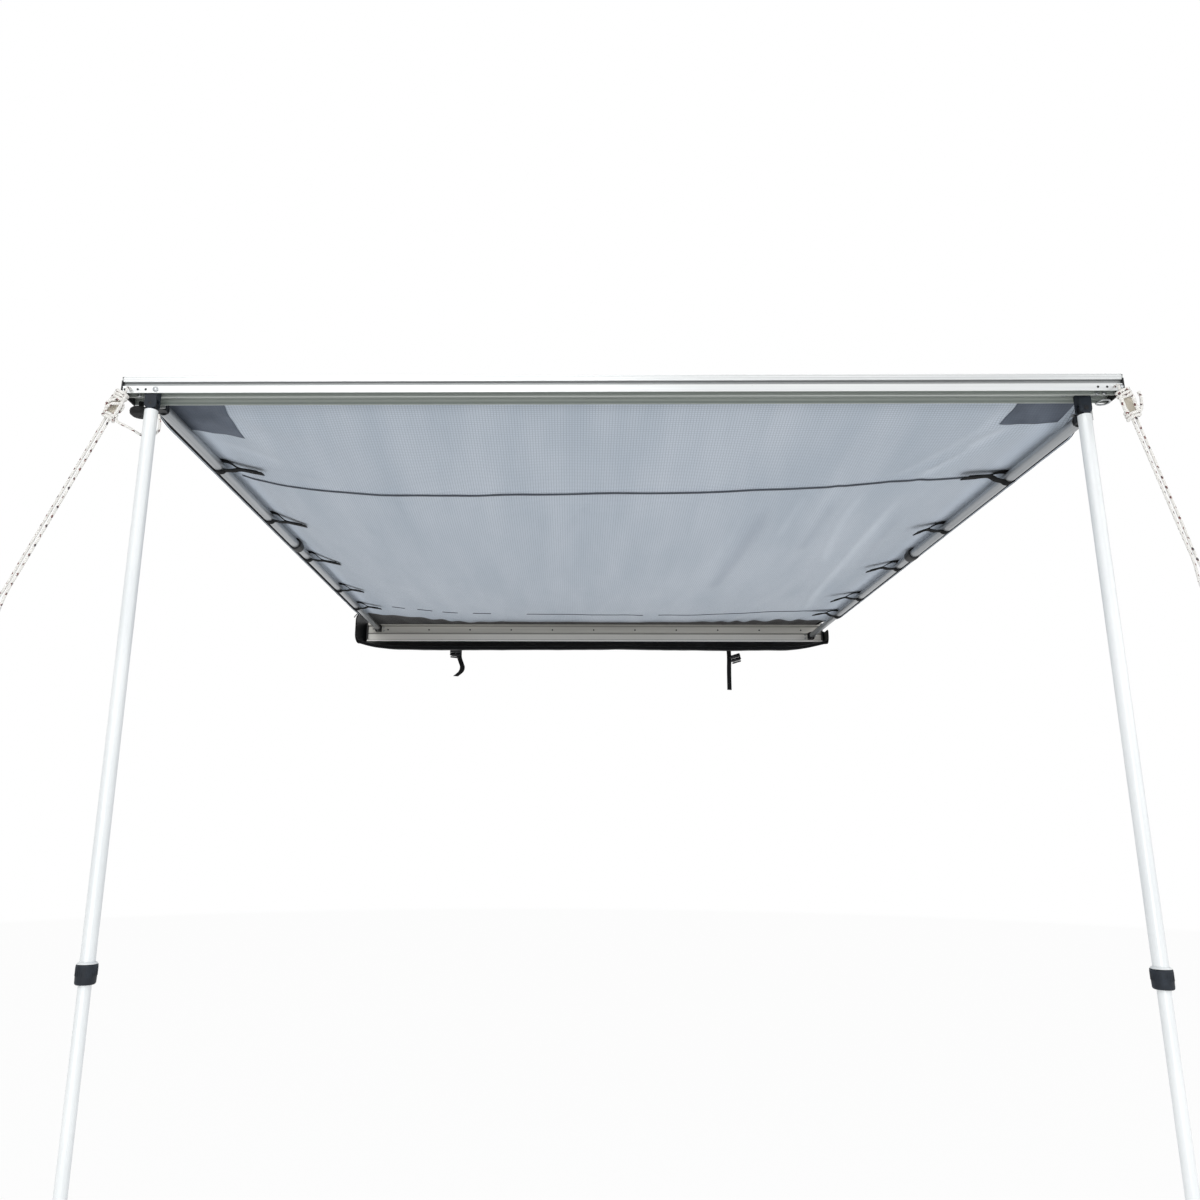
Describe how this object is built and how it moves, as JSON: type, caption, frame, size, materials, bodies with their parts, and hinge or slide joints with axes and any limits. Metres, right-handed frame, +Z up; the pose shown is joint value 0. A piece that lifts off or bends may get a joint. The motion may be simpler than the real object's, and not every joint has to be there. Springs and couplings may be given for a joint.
{
  "type": "vehicle side awning",
  "caption": "Pull-out awning for the side of a car roof: backing channel, cloth canopy on telescopic swing arms, front rail on folding telescopic legs, storage bag and guy ropes.",
  "frame": {"origin": "middle of the backing channel's flat back face, which lies in the plane y = 0", "axes": "+X along the car, to the right of a person who faces the car; +Y towards the car, out of the channel's back; +Z up"},
  "size_m": [2.2947, 2.5105, 1.812],
  "materials": {
    "rail_aluminium": "satin anodised, with fine extrusion lines",
    "channel_aluminium": "warm grey satin anodised",
    "bracket_aluminium": "plain mill finish",
    "arm_aluminium": "smooth grey anodised",
    "white_tube": "pale silver-white, half gloss",
    "black_plastic": "black moulded nylon",
    "slate_plastic": "dark blue-grey moulded nylon",
    "tan_plastic": "cream moulded plastic",
    "canopy_cloth": "blue-grey coated woven polyester",
    "bag_vinyl": "black coated cloth with a soft sheen",
    "webbing": "black woven webbing",
    "rope": "white braid with dark flecks",
    "fastener_steel": "zinc-plated",
    "foot_rubber": "black moulded rubber"
  },
  "bodies": {
    "channel": {"backing_channel": "channel_aluminium", "channel_end_cap_left": "black_plastic", "channel_end_cap_right": "black_plastic", "roof_bracket_left": "bracket_aluminium", "roof_bracket_right": "bracket_aluminium", "bracket_bolt_upper_left": "fastener_steel", "bracket_bolt_lower_left": "fastener_steel", "bracket_bolt_upper_right": "fastener_steel", "bracket_bolt_lower_right": "fastener_steel", "arm_hinge_left": "black_plastic", "arm_hinge_right": "black_plastic", "arm_hinge_pin_left": "fastener_steel", "arm_hinge_pin_right": "fastener_steel", "storage_bag": "bag_vinyl", "bag_strap_left": "webbing", "bag_strap_right": "webbing", "canopy": "canopy_cloth"},
    "front_rail": {"front_rail": "rail_aluminium", "rail_end_cap_left": "black_plastic", "rail_end_cap_right": "black_plastic", "leg_bracket_left": "slate_plastic", "leg_bracket_right": "slate_plastic", "leg_pin_left": "fastener_steel", "leg_pin_right": "fastener_steel", "arm_tab_left": "bracket_aluminium", "arm_tab_right": "bracket_aluminium", "guy_rope_left": "rope", "guy_rope_right": "rope", "guy_slider_left": "tan_plastic", "guy_slider_right": "tan_plastic"},
    "arm_inner_left": {"arm_knuckle_left": "black_plastic", "arm_inner_tube_left": "arm_aluminium", "arm_strap_left_1": "webbing", "arm_strap_left_2": "webbing", "arm_strap_left_3": "webbing"},
    "arm_outer_left": {"arm_outer_tube_left": "arm_aluminium", "arm_tip_left": "black_plastic", "arm_strap_left_4": "webbing", "arm_strap_left_5": "webbing"},
    "arm_collar_left": {"arm_collar_left": "black_plastic"},
    "arm_inner_right": {"arm_knuckle_right": "black_plastic", "arm_inner_tube_right": "arm_aluminium", "arm_strap_right_1": "webbing", "arm_strap_right_2": "webbing", "arm_strap_right_3": "webbing"},
    "arm_outer_right": {"arm_outer_tube_right": "arm_aluminium", "arm_tip_right": "black_plastic", "arm_strap_right_4": "webbing", "arm_strap_right_5": "webbing"},
    "arm_collar_right": {"arm_collar_right": "black_plastic"},
    "leg_upper_left": {"leg_knuckle_left": "black_plastic", "leg_upper_tube_left": "white_tube"},
    "leg_lower_left": {"leg_lower_tube_left": "white_tube", "leg_foot_left": "foot_rubber"},
    "leg_collar_left": {"leg_collar_left": "slate_plastic"},
    "leg_upper_right": {"leg_knuckle_right": "black_plastic", "leg_upper_tube_right": "white_tube"},
    "leg_lower_right": {"leg_lower_tube_right": "white_tube", "leg_foot_right": "foot_rubber"},
    "leg_collar_right": {"leg_collar_right": "slate_plastic"}
  },
  "joints": [
    {"name": "pull_out", "type": "slide", "parent": "channel", "child": "front_rail", "axis": [0, 1, 0], "range_m": [0, 0.8], "deforming": ["canopy"]},
    {"name": "arm_swing_left", "type": "hinge", "parent": "channel", "child": "arm_inner_left", "pos_m": [-0.95, -0.034, 0.0155], "axis": [0, 0, 1], "range_deg": [0, 86]},
    {"name": "arm_swing_right", "type": "hinge", "parent": "channel", "child": "arm_inner_right", "pos_m": [0.95, -0.034, -0.0155], "axis": [0, 0, -1], "range_deg": [0, 86]},
    {"name": "arm_telescope_left", "type": "slide", "parent": "arm_inner_left", "child": "arm_outer_left", "axis": [0, 1, 0], "range_m": [0, 0.8], "deforming": ["arm_strap_left_1", "arm_strap_left_2", "arm_strap_left_3", "arm_strap_left_4", "arm_strap_left_5"]},
    {"name": "arm_telescope_right", "type": "slide", "parent": "arm_inner_right", "child": "arm_outer_right", "axis": [0, 1, 0], "range_m": [0, 0.8], "deforming": ["arm_strap_right_1", "arm_strap_right_2", "arm_strap_right_3", "arm_strap_right_4", "arm_strap_right_5"]},
    {"name": "arm_collar_turn_left", "type": "hinge", "parent": "arm_outer_left", "child": "arm_collar_left", "pos_m": [-0.95, -1.31, 0.0155], "axis": [0, 1, 0], "range_deg": [0, 90]},
    {"name": "arm_collar_turn_right", "type": "hinge", "parent": "arm_outer_right", "child": "arm_collar_right", "pos_m": [0.95, -1.31, -0.0155], "axis": [0, 1, 0], "range_deg": [0, 90]},
    {"name": "leg_fold_left", "type": "hinge", "parent": "front_rail", "child": "leg_upper_left", "pos_m": [-0.94, -2.3865, -0.0085], "axis": [0, -1, 0], "range_deg": [0, 90]},
    {"name": "leg_fold_right", "type": "hinge", "parent": "front_rail", "child": "leg_upper_right", "pos_m": [0.94, -2.3535, -0.0085], "axis": [0, 1, 0], "range_deg": [0, 90]},
    {"name": "leg_telescope_left", "type": "slide", "parent": "leg_upper_left", "child": "leg_lower_left", "axis": [0, 0, 1], "range_m": [-0.45, 0.39]},
    {"name": "leg_telescope_right", "type": "slide", "parent": "leg_upper_right", "child": "leg_lower_right", "axis": [0, 0, 1], "range_m": [-0.45, 0.39]},
    {"name": "leg_collar_turn_left", "type": "hinge", "parent": "leg_upper_left", "child": "leg_collar_left", "pos_m": [-0.94, -2.3865, -1.0835], "axis": [0, 0, 1], "range_deg": [0, 90]},
    {"name": "leg_collar_turn_right", "type": "hinge", "parent": "leg_upper_right", "child": "leg_collar_right", "pos_m": [0.94, -2.3535, -1.0835], "axis": [0, 0, 1], "range_deg": [0, 90]}
  ],
  "couplings": [
    {"joint": "arm_telescope_left", "follows": "pull_out", "ratio": 1},
    {"joint": "arm_telescope_right", "follows": "pull_out", "ratio": 1}
  ]
}
